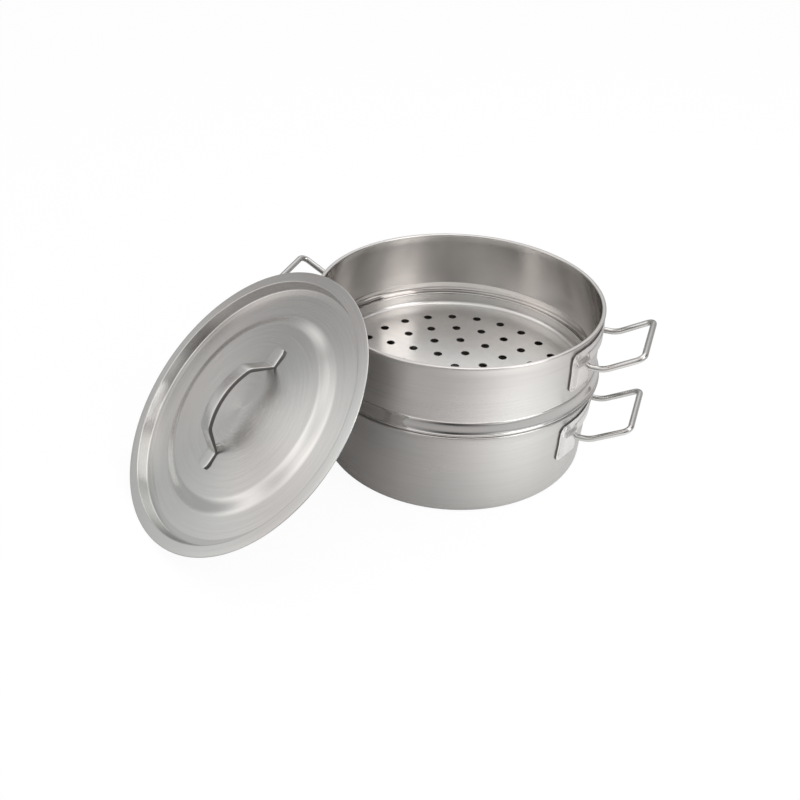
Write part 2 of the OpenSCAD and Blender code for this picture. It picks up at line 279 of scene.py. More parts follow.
def offset_path(path, depth):
    """The path moved to its right-hand side, which is inside the metal."""
    out = []
    for i, p in enumerate(path):
        a = path[max(i - 1, 0)]
        b = path[min(i + 1, len(path) - 1)]
        d = Vector((b[0] - a[0], b[1] - a[1])).normalized()
        out.append((p[0] + depth * d.y, p[1] - depth * d.x))
    return out


def pot_wall_r(z):
    return POT_FOOT_R + POT_GROWTH * (z - POT_CORNER_R)


def steamer_wall_r(z):
    """The steamer's wall is straight. Brackets and wires ask both walls the same way."""
    return VESSEL_R


# Mesh builders
def keep_local_places(mesh):
    """Keeps each point's place in the piece's own frame for the grain, and a UV map whose
    first direction runs round the piece's axis for the tangent."""
    place = mesh.attributes.new("local", "FLOAT_VECTOR", "POINT")
    for i, v in enumerate(mesh.vertices):
        place.data[i].vector = v.co
    uv = mesh.uv_layers.new(name="grain")
    for face in mesh.polygons:
        middle = math.atan2(face.center.y, face.center.x)
        for loop in face.loop_indices:
            co = mesh.vertices[mesh.loops[loop].vertex_index].co
            flat = math.hypot(co.x, co.y)
            a = math.atan2(co.y, co.x) if flat > 1e-6 else middle
            a = middle + (a - middle + math.pi) % (2 * math.pi) - math.pi
            uv.data[loop].uv = (a / math.pi, flat + co.z)


def new_piece(name, verts, faces, material, body, nodes, sharp=34.0, place=None):
    """A mesh piece that rides on a body and stands for some CAD nodes."""
    mesh = bpy.data.meshes.new(name)
    mesh.from_pydata([(x * MM, y * MM, z * MM) for x, y, z in verts], [], faces)
    bm = bmesh.new()
    bm.from_mesh(mesh)
    bmesh.ops.remove_doubles(bm, verts=bm.verts, dist=1e-6)
    bmesh.ops.recalc_face_normals(bm, faces=bm.faces)
    bm.to_mesh(mesh)
    bm.free()
    keep_local_places(mesh)
    if place is not None:
        mesh.transform(place)
    mesh.materials.append(material)
    mesh.shade_smooth()
    mesh.set_sharp_from_angle(angle=math.radians(sharp))
    obj = bpy.data.objects.new(name, mesh)
    bpy.context.scene.collection.objects.link(obj)
    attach(obj, body)
    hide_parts(*nodes)
    return obj


def give_material(piece, material, faces):
    """Gives some faces of a piece a further material."""
    piece.data.materials.append(material)
    for i in faces:
        piece.data.polygons[i].material_index = len(piece.data.materials) - 1


def bridge(low, high, count, faces):
    """A band of faces between two rings, each given by the number of its first point."""
    for k in range(count):
        m = (k + 1) % count
        faces.append([low + k, low + m, high + m, high + k])


def turned(outline, verts, faces):
    """Turns an outline about Z. Points on the axis become one point each."""
    rings = []
    for r, z in outline:
        if r < 1e-6:
            verts.append((0.0, 0.0, z))
            rings.append([len(verts) - 1] * TURNS)
            continue
        ring = []
        for i in range(TURNS):
            a = 2 * math.pi * i / TURNS
            verts.append((r * math.cos(a), r * math.sin(a), z))
            ring.append(len(verts) - 1)
        rings.append(ring)
    for low, high in zip(rings, rings[1:]):
        for i in range(TURNS):
            j = (i + 1) % TURNS
            corners = [low[i], low[j], high[j], high[i]]
            face = [c for k, c in enumerate(corners) if c not in corners[:k]]
            if len(face) > 2:
                faces.append(face)


def tube(path, sizes, sides):
    """A closed tube along 3D points. sizes holds each ring's half axes, side and up."""
    points = [Vector(p) for p in path]
    verts, faces = [], []
    ahead = (points[1] - points[0]).normalized()
    up = Vector((0, 0, 1))
    side = ahead.cross(up).normalized()
    up = side.cross(ahead)
    last = len(points) - 1
    for i, p in enumerate(points):
        a = points[max(i - 1, 0)]
        b = points[min(i + 1, last)]
        turn = ahead.rotation_difference((b - a).normalized())
        ahead, side, up = (b - a).normalized(), turn @ side, turn @ up
        for k in range(sides):
            t = 2 * math.pi * k / sides
            v = p + side * sizes[i][0] * math.cos(t) + up * sizes[i][1] * math.sin(t)
            verts.append(tuple(v))
    for i in range(last):
        bridge(i * sides, (i + 1) * sides, sides, faces)
    faces.append(list(range(sides)))
    faces.append([last * sides + k for k in reversed(range(sides))])
    return verts, faces


# Node helpers
class Nodes:
    """Short calls for building a node tree."""

    def __init__(self, tree):
        self.tree = tree
        tree.nodes.clear()

    def add(self, kind, **settings):
        node = self.tree.nodes.new(kind)
        for key, value in settings.items():
            setattr(node, key, value)
        return node

    def link(self, source, target):
        self.tree.links.new(source, target)

    def put(self, socket, value):
        if isinstance(value, bpy.types.NodeSocket):
            self.link(value, socket)
        else:
            socket.default_value = value

    def math(self, operation, *values):
        node = self.add("ShaderNodeMath", operation=operation)
        for socket, value in zip(node.inputs, values):
            self.put(socket, value)
        return node.outputs[0]

    def vector(self, operation, *values):
        node = self.add("ShaderNodeVectorMath", operation=operation)
        for socket, value in zip(node.inputs, values):
            self.put(socket, value)
        single = operation in ("LENGTH", "DISTANCE", "DOT_PRODUCT")
        return node.outputs["Value" if single else "Vector"]

    def remap(self, value, low, high, to_low, to_high):
        node = self.add("ShaderNodeMapRange", interpolation_type="SMOOTHSTEP")
        for key, item in zip(("Value", "From Min", "From Max", "To Min", "To Max"),
                             (value, low, high, to_low, to_high)):
            self.put(node.inputs[key], item)
        return node.outputs["Result"]

    def blend(self, share, a, b):
        node = self.add("ShaderNodeMix", data_type="RGBA")
        self.put(node.inputs[0], share)
        self.put(node.inputs[6], a)
        self.put(node.inputs[7], b)
        return node.outputs[2]

    def noise(self, vector, w=0.0, scale=1.0, detail=2.0, rough=0.5):
        node = self.add("ShaderNodeTexNoise", noise_dimensions="4D")
        self.put(node.inputs["Vector"], vector)
        self.put(node.inputs["W"], w)
        node.inputs["Scale"].default_value = scale
        node.inputs["Detail"].default_value = detail
        node.inputs["Roughness"].default_value = rough
        return node.outputs["Fac"]

    def mirrored(self, path):
        """One for rays that metal or glass sends out, otherwise zero."""
        return self.math("MAXIMUM", path.outputs["Is Glossy Ray"],
                         path.outputs["Is Transmission Ray"])


def around_coordinates(n, position, along, across):
    """Noise coordinates that run round the Z axis: long one way, fine the other.
    Returns a vector and a fourth coordinate, without a seam."""
    parts = n.add("ShaderNodeSeparateXYZ")
    n.link(position, parts.inputs[0])
    flat = n.vector("MULTIPLY", position, (1.0, 1.0, 0.0))
    radius = n.vector("LENGTH", flat)
    direction = n.vector("NORMALIZE", flat)
    direction = n.vector("MULTIPLY", direction, (along, along, 0.0))
    level = n.add("ShaderNodeCombineXYZ")
    n.link(n.math("MULTIPLY", parts.outputs[2], across), level.inputs[2])
    return n.vector("ADD", direction, level.outputs[0]), n.math("MULTIPLY", radius, across)


def steel(name, colour, rough, aniso=0.0, grain="around", tint=0.02, streak=0.03,
          bump=0.01, wear=0.03, polished=None):
    """Brushed stainless steel. grain is around, along or none, the way that the brushing runs.
    The highlight stretches across the grain, a quarter turn from the tangent. polished is a
    band of heights, in millimetres, that forming left smoother than the rest."""
    material = bpy.data.materials.new(name)
    material.use_nodes = True
    n = Nodes(material.node_tree)
    out = n.add("ShaderNodeOutputMaterial")
    shader = n.add("ShaderNodeBsdfPrincipled")
    n.link(shader.outputs[0], out.inputs[0])
    shader.inputs["Metallic"].default_value = 1.0
    shader.inputs["Anisotropic"].default_value = aniso
    shader.inputs["Anisotropic Rotation"].default_value = 0.25 if grain == "around" else 0.0
    place = n.add("ShaderNodeAttribute", attribute_name="local").outputs["Vector"]
    if grain == "around":
        fine_at, band_at, line_at = (around_coordinates(n, place, *scales)
                                     for scales in (FINE_GRAIN, BAND_GRAIN, LINE_GRAIN))
    else:
        stretch = GRAIN_STRETCH[grain]
        fine_at = (n.vector("MULTIPLY", place, stretch), 0.0)
        band_at = (n.vector("MULTIPLY", place, tuple(s / 4 for s in stretch)), 2.0)
        line_at = (n.vector("MULTIPLY", place, tuple(s * 2 for s in stretch)), 5.0)
    fine = n.noise(*fine_at, detail=3.0, rough=0.6)
    band = n.noise(*band_at, detail=2.0)
    lines = n.remap(n.noise(*line_at, detail=1.0), 0.60, 0.74, 0.0, 1.0)
    cloud = n.noise(place, scale=11.0, detail=2.0)
    patch = n.noise(n.vector("ADD", place, (0.31, 0.17, 0.05)), scale=7.0, detail=1.0)

    # Colour: warm and cool patches, dim bands of grain and pale scratches
    warm = tuple(c * k for c, k in zip(colour, (1.0 + tint, 1.0 - tint * 0.3, 1.0 - tint)))
    cool = tuple(c * k for c, k in zip(colour, (1.0 - tint, 1.0 + tint * 0.3, 1.0)))
    base = n.blend(n.remap(patch, 0.35, 0.65, 0.0, 1.0), (*warm, 1.0), (*cool, 1.0))
    dim = tuple(c * (1.0 - streak * 2) for c in colour)
    shade = n.math("MULTIPLY", n.remap(band, 0.35, 0.75, 0.0, 1.0), 0.8)
    base = n.blend(shade, base, (*dim, 1.0))
    n.link(n.blend(n.math("MULTIPLY", lines, wear), base, SCRATCH_COLOUR),
           shader.inputs["Base Color"])

    # Roughness: clouds, grain and scratches, and less of it where the steel is polished
    level = n.math("ADD", n.remap(cloud, 0.3, 0.7, rough - 0.02, rough + 0.02),
                   n.math("MULTIPLY", n.math("SUBTRACT", fine, 0.5), streak * 2))
    level = n.math("ADD", level, n.math("MULTIPLY", lines, wear))
    if polished:
        parts = n.add("ShaderNodeSeparateXYZ")
        n.link(place, parts.inputs[0])
        low, high = (z * MM for z in polished)
        inside = n.math("MULTIPLY", n.remap(parts.outputs[2], low - MM, low, 0.0, 1.0),
                        n.remap(parts.outputs[2], high, high + MM, 1.0, 0.0))
        level = n.math("MULTIPLY", level, n.remap(inside, 0.0, 1.0, 1.0, POLISH))
    n.link(level, shader.inputs["Roughness"])

    relief = n.add("ShaderNodeBump")
    relief.inputs["Strength"].default_value = bump
    relief.inputs["Distance"].default_value = BUMP_DEPTH
    n.link(fine, relief.inputs["Height"])
    n.link(relief.outputs[0], shader.inputs["Normal"])
    if aniso > 0.0:
        tangent = n.add("ShaderNodeTangent", direction_type="UV_MAP", uv_map="grain")
        n.link(tangent.outputs[0], shader.inputs["Tangent"])
    return material


# Pieces
def make_pot(material):
    """A pressed bowl with a rolled rim."""
    lip_in, lip_out, lip_h, lip_z = POT_LIP
    aside, below = POT_NECK
    half = lip_h / 2
    foot = (POT_FOOT_R - POT_CORNER_R, POT_CORNER_R)
    outside = [(0.0, 0.0)] + line((0, 0), (foot[0], 0), BASE_STEPS)
    outside += arc(foot, POT_CORNER_R, -90, 0)
    wall_top = lip_z - half - below
    outside += line(outside[-1], (pot_wall_r(wall_top), wall_top), WALL_STEPS)
    outside += [(pot_wall_r(wall_top), wall_top), (pot_wall_r(wall_top) + aside, lip_z - half)]
    roll = arc((lip_out - half, lip_z), half, -90, 90) + arc((lip_in + half, lip_z), half, 90, 180)
    inner_foot = arc(foot, POT_CORNER_R - SHEET, 0, -90)
    inside = line((lip_in, lip_z), inner_foot[0], WALL_STEPS) + inner_foot
    inside += line((foot[0], SHEET), (0, SHEET), BASE_STEPS) + [(0.0, SHEET)]
    verts, faces = [], []
    turned(outside + roll + inside, verts, faces)
    return new_piece("pot_shell_v", verts, faces, material, "pot", ["pot_body"])


def hole_centres():
    """Middles of all the steam holes."""
    holes = [(0.0, 0.0)]
    for r, count, turn in HOLE_RINGS:
        for i in range(count):
            a = math.radians(turn + 360.0 * i / count)
            holes.append((r * math.cos(a), r * math.sin(a)))
    return holes


def hole_rings(cx, cy, z, down):
    """Rings from the flat plate down the rounded edge of a punched hole."""
    angles = [2 * math.pi * k / HOLE_SIDES for k in range(HOLE_SIDES)]
    rings = []
    for out, drop in HOLE_LIP:
        r = HOLE_R + out
        rings.append([(cx + r * math.cos(a), cy + r * math.sin(a), z + down * drop)
                      for a in angles])
    return rings


def hole_wall(upper, lower, verts, faces):
    """A band of faces between two rings of a hole."""
    start = len(verts)
    verts += upper + lower
    bridge(start, start + HOLE_SIDES, HOLE_SIDES, faces)


def plate_faces(z, down, edge_r, verts, faces):
    """One side of the perforated plate, out to edge_r. Returns the innermost ring of each hole."""
    centres = hole_centres()
    holes = [Vector(c) for c in centres]
    stacks = [hole_rings(cx, cy, z, down) for cx, cy in centres]
    rim = [2 * math.pi * i / TURNS for i in range(TURNS)]
    spans = [[(edge_r * math.cos(a), edge_r * math.sin(a)) for a in rim]]
    spans += [[p[:2] for p in rings[0]] for rings in stacks]
    points, edges = [], []
    for r, count in PLATE_FILL:
        for i in range(count):
            a = 2 * math.pi * i / count
            p = Vector((r * math.cos(a), r * math.sin(a)))
            if min((p - h).length for h in holes) > HOLE_R + FILL_GAP:
                points.append(p)
    for span in spans:
        start = len(points)
        points += [Vector(p) for p in span]
        edges += [(start + i, start + (i + 1) % len(span)) for i in range(len(span))]
    made = mathutils.geometry.delaunay_2d_cdt(points, edges, [], 0, 1e-5)
    base = len(verts)
    verts += [(p.x, p.y, z) for p in made[0]]
    for face in made[2]:
        middle = sum((made[0][i] for i in face), Vector((0, 0))) / len(face)
        if min((middle - h).length for h in holes) > HOLE_R + HOLE_LIP[0][0]:
            faces.append([base + i for i in face])
    for rings in stacks:
        for upper, lower in zip(rings, rings[1:]):
            hole_wall(upper, lower, verts, faces)
    return [rings[-1] for rings in stacks]


def steamer_section(edge_r):
    """The steamer's section without its plate, from the plate's top face, up the inside, over
    the lip and down the outside to the plate's underside."""
    lip_in, lip_out, lip_h, lip_z = STEAMER_LIP
    half = lip_h / 2
    inner_r = VESSEL_R - SHEET
    corner = (edge_r, PLATE_Z + SKIRT_CORNER_R)
    ledge_top = SEAT_Z + SHEET
    skirt_in, flare_in = SKIRT_R - SHEET, FLARE_R - SHEET
    neck_z = lip_z - half - STEAMER_NECK[1]
    neck_in_z = lip_z - half - STEAMER_NECK_IN[1]

    section = [(edge_r, PLATE_Z + SHEET)] + arc(corner, SKIRT_CORNER_R - SHEET, -90, 0)[1:]
    section += line(section[-1], (skirt_in, ledge_top - LEDGE_ROUND), FOOT_STEPS)
    section += arc((skirt_in + LEDGE_ROUND, ledge_top - LEDGE_ROUND), LEDGE_ROUND, 180, 90, 6)
    section += line(section[-1], (flare_in - FLARE_ROUND, ledge_top), FOOT_STEPS)
    section += arc((flare_in - FLARE_ROUND, ledge_top + FLARE_ROUND), FLARE_ROUND, -90, 0, 6)
    section += wave(flare_in, inner_r, FLARE_Z, CREASE_Z)
    section += line((inner_r, CREASE_Z), (inner_r, neck_in_z), WALL_STEPS)
    section += [(inner_r, neck_in_z), (inner_r - STEAMER_NECK_IN[0], lip_z - half)]
    section += arc((lip_in + half, lip_z), half, 250, 90, 12)
    section += arc((lip_out - half, lip_z), half, 90, -90, 12)
    section += [(VESSEL_R + STEAMER_NECK[0], lip_z - half), (VESSEL_R, neck_z)]
    section += line((VESSEL_R, neck_z), (VESSEL_R, CREASE_Z), WALL_STEPS)
    section += wave(VESSEL_R, FLARE_R, CREASE_Z, FLARE_Z)
    section += arc((FLARE_R - BEAD_H / 2, SEAT_Z + BEAD_H / 2), BEAD_H / 2, 60, -90, 10)
    section += line((FLARE_R - BEAD_H / 2, SEAT_Z), (SKIRT_R + SKIRT_ROUND, SEAT_Z), FOOT_STEPS)
    section += arc((SKIRT_R + SKIRT_ROUND, SEAT_Z - SKIRT_ROUND), SKIRT_ROUND, 90, 180, 4)
    section += line((SKIRT_R, SEAT_Z - SKIRT_ROUND), (SKIRT_R, corner[1]), FOOT_STEPS)
    section += arc(corner, SKIRT_CORNER_R, 0, -90)
    return section


def make_steamer(material, shaded_inside_material, lit_plate_material, shade_edge_material):
    """The steamer in one piece. The inside of its wall, its perforated plate and the edges of the
    holes
    have materials of their own: the inside a darker copy of the steel as painted shade, the plate
    a paler copy as painted light, and the hole edges a dark colour as painted shade."""
    edge_r = SKIRT_R - SKIRT_CORNER_R
    verts, faces = [], []
    turned(steamer_section(edge_r), verts, faces)
    tops = plate_faces(PLATE_Z + SHEET, -1, edge_r, verts, faces)
    lows = plate_faces(PLATE_Z, 1, edge_r, verts, faces)
    for top, low in zip(tops, lows):
        hole_wall(top, low, verts, faces)
    piece = new_piece("steamer_shell_v", verts, faces, material, "steamer", ["steamer_body"])

    middles = [face.center / MM for face in piece.data.polygons]
    out = [math.hypot(m.x, m.y) for m in middles]
    holes = hole_centres()
    lip_low = STEAMER_LIP[3] - STEAMER_LIP[2] / 2
    plate = [i for i, m in enumerate(middles)
             if out[i] < edge_r + PICK and m.z < PLATE_Z + 2 * SHEET]
    # Faces of the hole walls and the inner rounds of their edges, which get the painted shade
    hole_shade_faces = [i for i in plate if HOLE_R + HOLE_SHADE_REACH > min(
        math.hypot(middles[i].x - x, middles[i].y - y) for x, y in holes)]
    inside = [i for i, m in enumerate(middles)
              if out[i] < VESSEL_R - SHEET + PICK and CREASE_Z < m.z < lip_low]
    # The plate gets the paler copy of the steel as painted light
    give_material(piece, lit_plate_material, plate)
    # The hole edges get the dark colour as painted shade
    give_material(piece, shade_edge_material, hole_shade_faces)
    # The inside of the wall gets the darker copy of the steel as painted shade
    give_material(piece, shaded_inside_material, inside)
    return piece


def box_distance(p, low, high, r):
    """Signed distance from a rounded rectangle, below zero inside."""
    cx, cy = (low[0] + high[0]) / 2, (low[1] + high[1]) / 2
    dx = abs(p[0] - cx) - (high[0] - low[0]) / 2 + r
    dy = abs(p[1] - cy) - (high[1] - low[1]) / 2 + r
    return math.hypot(max(dx, 0), max(dy, 0)) + min(max(dx, dy), 0) - r


def bracket_distance(y, z):
    """Signed distance from the bracket's outline. z is measured from its top edge."""
    w = BRACKET_HALF_W
    strip = box_distance((y, z), (-w, -STRIP_H), (w, 0), BRACKET_CORNER_R)
    lobe = box_distance((abs(y), z), (LEG_Y, -BRACKET_H), (w, 0), BRACKET_CORNER_R)
    share = max(BRACKET_FILLET - abs(strip - lobe), 0) / BRACKET_FILLET
    plate = min(strip, lobe) - share * share * BRACKET_FILLET / 4
    mouth = box_distance((abs(y), z), (LEG_Y - MOUTH_HALF[0], -LEG_DROP - MOUTH_HALF[1]),
                         (LEG_Y + MOUTH_HALF[0], -LEG_DROP + MOUTH_HALF[1]), MOUTH_CORNER_R)
    return max(plate, -mouth)


def bracket_height(y, z):
    """How far the pressed face stands off the wall."""
    w, a = BRACKET_HALF_W, abs(y)
    reach = LEG_Y + STRIP_REACH
    strip = box_distance((a, z), (-reach, -STRIP_H), (reach, -BAND_H), STRIP_CORNER_R)
    high = BRACKET_T + STRIP_OUT * smooth((STRIP_FOOT - strip) / STRIP_SLOPE)
    slope_z = min((z + BRACKET_H - BRACKET_EDGE) / POCKET_SLOPE[0],
                  (-BAND_H - z) / POCKET_SLOPE[1])
    slope_y = min(a - LEG_Y + POCKET_SIDE_START, w - BRACKET_EDGE - a) / POCKET_SIDE_SLOPE
    rise = smooth(slope_z) * smooth(slope_y)
    high += (POCKET_OUT - high) * rise
    for weld in (LEG_Y / 2, w - BRACKET_EDGE - WELD_R):
        d = math.hypot(a - weld, z + BAND_H / 2)
        high -= WELD_DENT * smooth((WELD_OUTER_R - d) / WELD_SLOPE)
    return high


def onto_outline(y, z, probe=0.01):
    """The nearest place on the bracket's outline."""
    for _ in range(4):
        d = bracket_distance(y, z)
        gy = (bracket_distance(y + probe, z) - bracket_distance(y - probe, z)) / (2 * probe)
        gz = (bracket_distance(y, z + probe) - bracket_distance(y, z - probe)) / (2 * probe)
        size = max(gy * gy + gz * gz, 1e-6)
        y -= d * gy / size
        z -= d * gz / size
    return y, z


def bracket_grid():
    """Squares of a grid inside the bracket's outline, the places of their corners, with the
    outer ones moved onto the outline, and the set of those outer corners."""
    left = -BRACKET_HALF_W - GRID_MARGIN * GRID
    bottom = -BRACKET_H - GRID_MARGIN * GRID
    columns = round(2 * BRACKET_HALF_W / GRID) + 2 * GRID_MARGIN
    rows = round(BRACKET_H / GRID) + 2 * GRID_MARGIN
    squares = [(i, j) for i in range(columns) for j in range(rows)
               if bracket_distance(left + (i + 0.5) * GRID, bottom + (j + 0.5) * GRID) < 0]
    count = {}
    for i, j in squares:
        for c in ((i, j), (i, j + 1), (i + 1, j), (i + 1, j + 1)):
            count[c] = count.get(c, 0) + 1
    rim = {c for c in count if count[c] < 4}
    places = {}
    for c in count:
        y, z = left + c[0] * GRID, bottom + c[1] * GRID
        places[c] = onto_outline(y, z) if c in rim else (y, z)
    return squares, places, rim


def make_bracket(name, wall_r, top_z, flip, material, shade_edge_material, body):
    """A pressed plate that follows the wall, with a pocket over each end of the wire."""
    squares, places, rim = bracket_grid()
    turn = math.pi if flip else 0.0
    verts, index = [], {}
    for side in ("face", "edge", "back"):
        for c, (y, z) in places.items():
            if side == "edge" and c not in rim:
                continue
            high = bracket_height(y, z)
            level = {"face": high + EDGE_LIFT - (EDGE_SINK if c in rim else 0.0),
                     "edge": high + EDGE_LIFT - EDGE_ROUND,
                     "back": max(high - BRACKET_T, -BACK_SINK)}[side]
            r = wall_r(top_z + z)
            a = y / r + turn
            verts.append(((r + level) * math.cos(a), (r + level) * math.sin(a), top_z + z))
            index[(side, c)] = len(verts) - 1
    faces, edges = [], []
    kept = set(squares)
    for i, j in squares:
        ring = [(i, j), (i + 1, j), (i + 1, j + 1), (i, j + 1)]
        faces.append([index[("face", c)] for c in ring])
        faces.append([index[("back", c)] for c in reversed(ring)])
        sides = (((i, j - 1), ring[0], ring[1]), ((i + 1, j), ring[1], ring[2]),
                 ((i, j + 1), ring[2], ring[3]), ((i - 1, j), ring[3], ring[0]))
        for beside, p, q in sides:
            if beside not in kept:
                face_p, edge_p, back_p = (index[(side, p)] for side in ("face", "edge", "back"))
                face_q, edge_q, back_q = (index[(side, q)] for side in ("face", "edge", "back"))
                faces.append([face_p, edge_p, edge_q, face_q])
                edges.append([edge_p, back_p, back_q, edge_q])
    piece = new_piece(name + "_v", verts, faces + edges, material, body, [name],
                      sharp=50)
    # The lower band of the bracket's sides gets the dark colour as painted shade along its outline
    give_material(piece, shade_edge_material, range(len(faces), len(faces) + len(edges)))
    return piece


def wire_leg(r, leg_z):
    """Half of a wire handle, from its flattened end to the grip's corner, as points with
    their half axes. r is the wall's radius at the leg's height."""
    def on_wall(y):
        return math.sqrt((r + WIRE_FLAT_OUT) ** 2 - y * y)

    round_wire = (WIRE_R, WIRE_R)
    turn_y = LEG_Y + WIRE_TURN_R
    half = []
    for i in range(9):
        y = mix(WIRE_END_Y, turn_y, i / 8)
        half.append(((on_wall(y), y, leg_z), WIRE_FLAT))
    x = on_wall(turn_y)
    for i in range(1, 9):
        a = math.pi / 2 * i / 8
        grow = smooth(i / 8)
        place = (x + WIRE_TURN_R * (1 - math.cos(a)), LEG_Y + WIRE_TURN_R * (1 - math.sin(a)),
                 leg_z)
        half.append((place, tuple(mix(flat, WIRE_R, grow) for flat in WIRE_FLAT)))

    level_x = math.sqrt(r * r - LEG_Y * LEG_Y) + POCKET_OUT + WIRE_STRAIGHT
    out_x = half[-1][0][0]
    for i in range(1, 4):
        half.append(((mix(out_x, level_x, i / 3), LEG_Y, leg_z), round_wire))
    run = GRIP_X - level_x
    span = math.hypot(run, GRIP_RISE - LEG_BEND_R)
    slope = math.pi / 2 - math.acos(LEG_BEND_R / span) + math.atan2(GRIP_RISE - LEG_BEND_R, run)
    for i in range(1, 13):
        a = slope * i / 12
        half.append(((level_x + LEG_BEND_R * math.sin(a), LEG_Y,
                      leg_z + LEG_BEND_R * (1 - math.cos(a))), round_wire))

    last = Vector(half[-1][0])
    corner = Vector((GRIP_X, LEG_Y, leg_z + GRIP_RISE))
    way = (corner - last).normalized()
    stop = corner - way * GRIP_BEND_R
    for i in range(1, 6):
        half.append((tuple(last.lerp(stop, i / 5)), round_wire))
    inward = Vector((0, -1, 0))
    centre = stop + inward * GRIP_BEND_R
    for i in range(1, 13):
        a = math.pi / 2 * i / 12
        p = centre + way * GRIP_BEND_R * math.sin(a) - inward * GRIP_BEND_R * math.cos(a)
        half.append((tuple(p), round_wire))
    return half


def make_wire(name, wall_r, top_z, flip, material, body):
    """A bent wire whose flattened ends lie in the bracket's pockets."""
    leg_z = top_z - LEG_DROP
    half = wire_leg(wall_r(leg_z), leg_z)
    other = [((x, -y, z), size) for (x, y, z), size in reversed(half)]
    grip = [((GRIP_X, y, leg_z + GRIP_RISE), (WIRE_R, WIRE_R)) for y in GRIP_POINTS]
    whole = half + grip + other
    sign = -1.0 if flip else 1.0
    path = [(x * sign, y * sign, z) for (x, y, z), _ in whole]
    verts, faces = tube(path, [size for _, size in whole], WIRE_SIDES)
    return new_piece(name + "_v", verts, faces, material, body, [name], sharp=60)


def lid_place():
    """Where the leaning lid stands: its own frame tilted, shifted and turned about Z."""
    turn = Matrix.Rotation(LID_HEADING, 4, "Z")
    shift = Matrix.Translation(Vector(LID_PLACE) * MM)
    return turn @ shift @ Matrix.Rotation(LID_TILT, 4, "Y")


def crown_height(r):
    """Height of the lid's domed middle."""
    return LID_TOP_Z - LID_DOME * (r / LID_CROWN_R) ** 2


def make_lid(material):
    """A pressed lid: a domed crown, a channel round it, a step, and a hemmed flange."""
    hem_w, hem_t = LID_HEM
    tuck_r, tuck_z, tuck_gap = LID_HEM_TUCK
    step_r, step_z, step_round = LID_STEP
    foot_w, foot_h, foot_round = LID_STEP_FOOT
    channel_r, channel_round = LID_CHANNEL
    edge_r, edge_round = LID_EDGE
    inner_z = -LID_RECESS + CHANNEL_DROP / 2
    outer_z = -LID_RECESS - CHANNEL_DROP / 2
    flange_z = -FLANGE_DROP
    radii = [LID_CROWN_R * i / CROWN_STEPS for i in range(CROWN_STEPS + 1)]
    top = [(r, crown_height(r)) for r in radii]
    top += wave(LID_CROWN_R, LID_RISE_R, top[-1][1], inner_z)[1:]
    top += rounded_path([(LID_RISE_R, inner_z, 0.0),
                         (channel_r, outer_z, channel_round),
                         (step_r - foot_w, step_z - foot_h, foot_round),
                         (step_r, step_z, step_round),
                         (edge_r, 0.0, edge_round),
                         (LID_R - hem_t / 2, flange_z, 0.0)])[1:]
    under = offset_path(top, LID_SHEET)
    under[0] = (0.0, under[0][1])
    edge = arc((LID_R - hem_t / 2, flange_z - hem_t / 2), hem_t / 2, 80, -90, 10)
    hem = [(LID_R - hem_w, flange_z - hem_t),
           (LID_R - hem_w - tuck_r, flange_z - hem_t + tuck_z)]
    back = [p for p in reversed(under) if p[0] < LID_R - hem_w - tuck_gap]
    verts, faces = [], []
    turned(top + edge + hem + back, verts, faces)
    return new_piece("lid_v", verts, faces, material, "lid", ["lid_shell"],
                     place=lid_place())


def strap_path():
    """Points along the strap's underside, as (place, height), from one foot to the other."""
    arch_r = (STRAP_ARCH_HALF ** 2 + STRAP_ARCH_H ** 2) / (2 * STRAP_ARCH_H)
    low = arch_r - STRAP_ARCH_H
    arch = []
    for i in range(STRAP_ARCH_STEPS + 1):
        s = mix(0.0, STRAP_ARCH_HALF, i / STRAP_ARCH_STEPS)
        arch.append((s, STRAP_LEG_H + math.sqrt(arch_r ** 2 - s * s) - low))
    heel, tip = (STRAP_FOOT, 0.0), (STRAP_HALF_L, 0.0)
    arch_bend, foot_bend = STRAP_BENDS
    shoulder = bend(arch[-2], arch[-1], heel, *arch_bend)
    right = [p for p in arch if p[0] < shoulder[0][0]] + shoulder
    right += bend(arch[-1], heel, tip, *foot_bend)
    right += line(right[-1], tip, 4) + [tip]
    return [(-s, h) for s, h in reversed(right[1:])] + right


def strap_ring(wide, lip):
    """The strap's section as (across, height), turned down along both edges. wide is half its
    width."""
    r, t = STRAP_BEND_R, STRAP_T
    lip_z = t - lip
    crown_share, crown_up = STRAP_CROWN
    inner_in, inner_up = STRAP_INNER
    ring = [(-wide, lip_z)]
    ring += [(-wide + r - r * math.cos(a), t - r + r * math.sin(a)) for a in STRAP_BEND_ANGLES]
    ring += [(-wide * crown_share, t + crown_up), (wide * crown_share, t + crown_up)]
    ring += [(wide - r + r * math.sin(a), t - r + r * math.cos(a)) for a in STRAP_BEND_ANGLES]
    under = [(wide - inward, lip_z - down) for inward, down in STRAP_RIM]
    under += [(wide - inner_in, min(lip_z + inner_up, 0.0)), (wide - STRAP_FLAT_IN, 0.0)]
    return ring + under + [(-across, high) for across, high in reversed(under[1:])]


